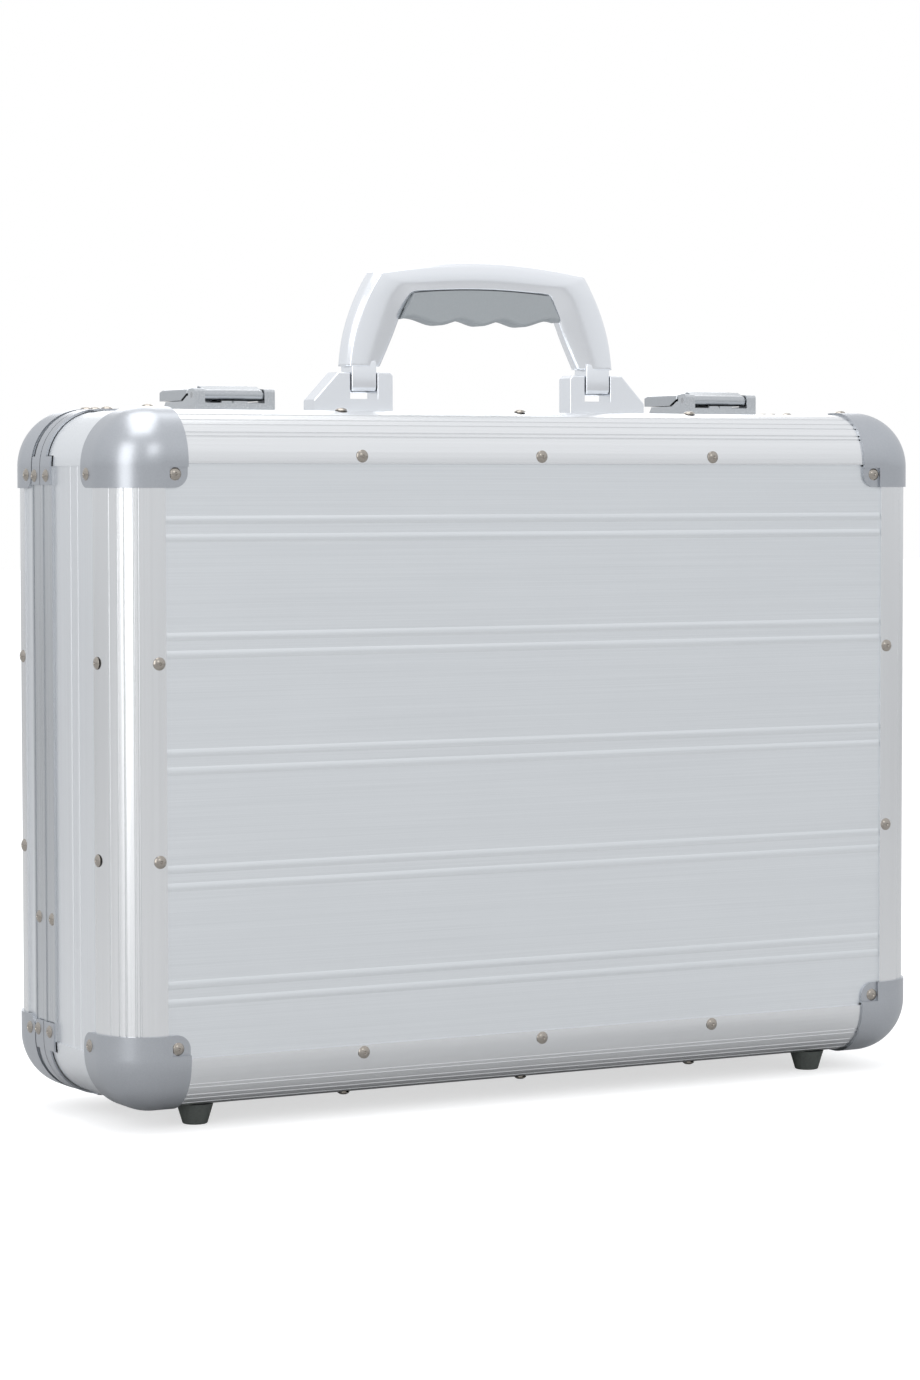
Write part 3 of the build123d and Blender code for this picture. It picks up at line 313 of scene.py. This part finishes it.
def handle_ring(outer, inner, bar):
    """Half section from the outer edge to the inner edge: share of the width, and half thickness."""
    thick = HALF_T / MM
    arm = [(0, 0), (0, 0.55), (0.09, 0.93), (0.30, 1.0), (0.58, 0.96), (0.94, 0.55), (1, 0.36), (1, 0)]
    rod = [(0, 0), (0, 0.50), (0.14, 0.86), (0.42, 1.0), (0.70, 0.99), (0.94, 0.90), (1, 0.80), (1, 0)]
    points = []
    for (share_a, y_a), (share_b, y_b) in zip(arm, rod):
        share = share_a + (share_b - share_a) * bar
        y = (y_a + (y_b - y_a) * bar) * thick
        x = outer[0] + (inner[0] - outer[0]) * share
        z = outer[1] + (inner[1] - outer[1]) * share
        points.append((x, -y, z))
    back = [(x, -y, z) for x, y, z in reversed(points[1:-1])]
    return points + back


def handle_mesh():
    """The arch: rings of a faceted section, with its ridge, strip edge and corners creased."""
    rings = [handle_ring(*station) for station in handle_stations()]
    count = len(rings[0])
    verts = [(x * MM, HANDLE_Y + y * MM, TOP_Z + z * MM) for ring in rings for x, y, z in ring]
    faces = []
    for row in range(len(rings) - 1):
        for col in range(count):
            a, b = row * count + col, row * count + (col + 1) % count
            faces.append((a, b, b + count, a + count))
    last = (len(rings) - 1) * count
    faces.append(tuple(reversed(range(count))))
    faces.append(tuple(range(last, last + count)))
    mesh = bpy.data.meshes.new("handle_arch")
    mesh.from_pydata(verts, [], faces)
    weights = {}
    lines = {1: 0.75, 2: 0.75, 4: 0.35, 5: 0.45, 6: 0.45}
    for row in range(len(rings) - 1):
        for col, weight in lines.items():
            for place in {col, (count - col) % count}:
                weights[(row * count + place, (row + 1) * count + place)] = weight
    corners = (len(ARM_OUTER) - 1, len(rings) - len(ARM_OUTER))
    for row in (*corners, 0, len(rings) - 1):
        weight = 0.5 if row in corners else 0.85
        for col in range(count):
            ends = sorted((row * count + col, row * count + (col + 1) % count))
            if row not in corners or min(col, count - col) <= 3:
                weights[tuple(ends)] = weight
    crease_edges(mesh, weights)
    mesh.validate()
    return mesh


def tongue_mesh(side):
    """Rounded tongue below one arm, mirrored to the given side."""
    bm = bmesh.new()
    low, high = (Vector(corner) * MM for corner in TONGUE)
    bmesh.ops.create_cube(bm, size=1.0)
    for vert in bm.verts:
        for axis in range(3):
            vert.co[axis] = low[axis] if vert.co[axis] < 0 else high[axis]
    ends = [e for e in bm.edges if all(v.co.z < high.z - MM for v in e.verts)]
    across = [e for e in ends if abs(e.verts[0].co.x - e.verts[1].co.x) > MM]
    bmesh.ops.bevel(bm, geom=across, offset=3.0 * MM, segments=5, profile=0.5, affect="EDGES")
    sharp = [e for e in bm.edges if len(e.link_faces) == 2 and e.calc_face_angle() > radians(50)]
    bmesh.ops.bevel(bm, geom=sharp, offset=0.8 * MM, segments=3, profile=0.5, affect="EDGES")
    for vert in bm.verts:
        vert.co = Vector((side * vert.co.x, HANDLE_Y + vert.co.y, TOP_Z + vert.co.z))
    if side < 0:
        bmesh.ops.reverse_faces(bm, faces=bm.faces)
    mesh = bpy.data.meshes.new("handle_tongue_" + ("left" if side < 0 else "right"))
    bm.to_mesh(mesh)
    bm.free()
    return mesh


def make_handle():
    arch_piece = new_piece("handle_arch", handle_mesh(), silver_paint, "handle")
    subdivided(arch_piece, 3)
    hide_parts("handle")
    for side in (-1, 1):
        mesh = tongue_mesh(side)
        new_piece(mesh.name, mesh, silver_paint, "handle")


make_handle()


# Stage --------------------------------------------------------------------------------------------


def area_light(name, place, target, size, power):
    data = bpy.data.lights.new(name, "AREA")
    data.shape = "RECTANGLE"
    data.size, data.size_y = size
    data.energy = power
    light = bpy.data.objects.new(name, data)
    bpy.context.scene.collection.objects.link(light)
    light.location = place
    light.rotation_euler = (Vector(target) - Vector(place)).to_track_quat("-Z", "Y").to_euler()


def studio_floor():
    """Pale sweep that the camera sees as white."""
    mesh = bpy.data.meshes.new("floor")
    half = 12.0
    corners = [(-half, -half, 0), (half, -half, 0), (half, half, 0), (-half, half, 0)]
    mesh.from_pydata(corners, [], [(0, 1, 2, 3)])
    floor = bpy.data.objects.new("floor", mesh)
    bpy.context.scene.collection.objects.link(floor)
    g = Graph("floor_white")
    g.set(Base_Color=(0.55, 0.55, 0.55, 1), Roughness=0.9, Emission_Color=(1, 1, 1, 1))
    path = g.node("LightPath")
    seen = g.node("Math", operation="MULTIPLY")
    seen.inputs[1].default_value = 0.62
    g.link(path.outputs["Is Camera Ray"], seen.inputs[0])
    g.link(seen.outputs[0], g.shader.inputs["Emission Strength"])
    mesh.materials.append(g.material)


def studio_world():
    """Bright overhead and dimmer at the horizon, with plain white behind."""
    world = bpy.data.worlds.new("studio")
    bpy.context.scene.world = world
    world.use_nodes = True
    tree = world.node_tree
    where = tree.nodes.new("ShaderNodeTexCoord")
    split = tree.nodes.new("ShaderNodeSeparateXYZ")
    height = tree.nodes.new("ShaderNodeMapRange")
    height.inputs["From Min"].default_value = -0.1
    height.inputs["From Max"].default_value = 0.6
    shade = tree.nodes.new("ShaderNodeMix")
    shade.data_type = "RGBA"
    shade.inputs["A"].default_value = (0.75, 0.765, 0.785, 1)
    shade.inputs["B"].default_value = (0.92, 0.93, 0.95, 1)
    path = tree.nodes.new("ShaderNodeLightPath")
    behind = tree.nodes.new("ShaderNodeMix")
    behind.data_type = "RGBA"
    behind.inputs["B"].default_value = (1, 1, 1, 1)
    tree.links.new(where.outputs["Generated"], split.inputs[0])
    tree.links.new(split.outputs["Z"], height.inputs["Value"])
    tree.links.new(height.outputs[0], shade.inputs["Factor"])
    tree.links.new(shade.outputs["Result"], behind.inputs["A"])
    tree.links.new(path.outputs["Is Camera Ray"], behind.inputs["Factor"])
    tree.links.new(behind.outputs["Result"], tree.nodes["Background"].inputs["Color"])


def studio():
    bpy.context.scene.view_settings.view_transform = "Standard"
    studio_floor()
    studio_world()
    middle = (0, 0, 0.2)
    area_light("softbox_left", (-1.9, -1.1, 0.9), middle, (1.0, 1.8), 9)
    area_light("softbox_front", (-0.2, -2.4, 1.5), middle, (0.8, 0.8), 3)
    area_light("softbox_top", (-0.2, 0.1, 2.2), middle, (2.4, 1.2), 15)
    area_light("softbox_back", (0.9, 1.9, 1.2), middle, (1.2, 1.2), 6)


def camera():
    data = bpy.data.cameras.new("camera")
    data.lens = 99.34
    data.sensor_width = 36.0
    cam = bpy.data.objects.new("camera", data)
    bpy.context.scene.collection.objects.link(cam)
    yaw, pitch, roll = radians(28.772), radians(3.001), radians(-0.091)
    ahead = Vector((sin(yaw) * cos(pitch), cos(yaw) * cos(pitch), -sin(pitch)))
    right = Vector((cos(yaw), -sin(yaw), 0))
    up = right.cross(ahead)
    turn = Matrix((right, up, -ahead)).transposed().to_4x4()
    place = Matrix.Translation((-0.94415, -1.70266, 0.30504))
    cam.matrix_world = place @ turn @ Matrix.Rotation(roll, 4, "Z")
    bpy.context.scene.camera = cam


studio()
camera()
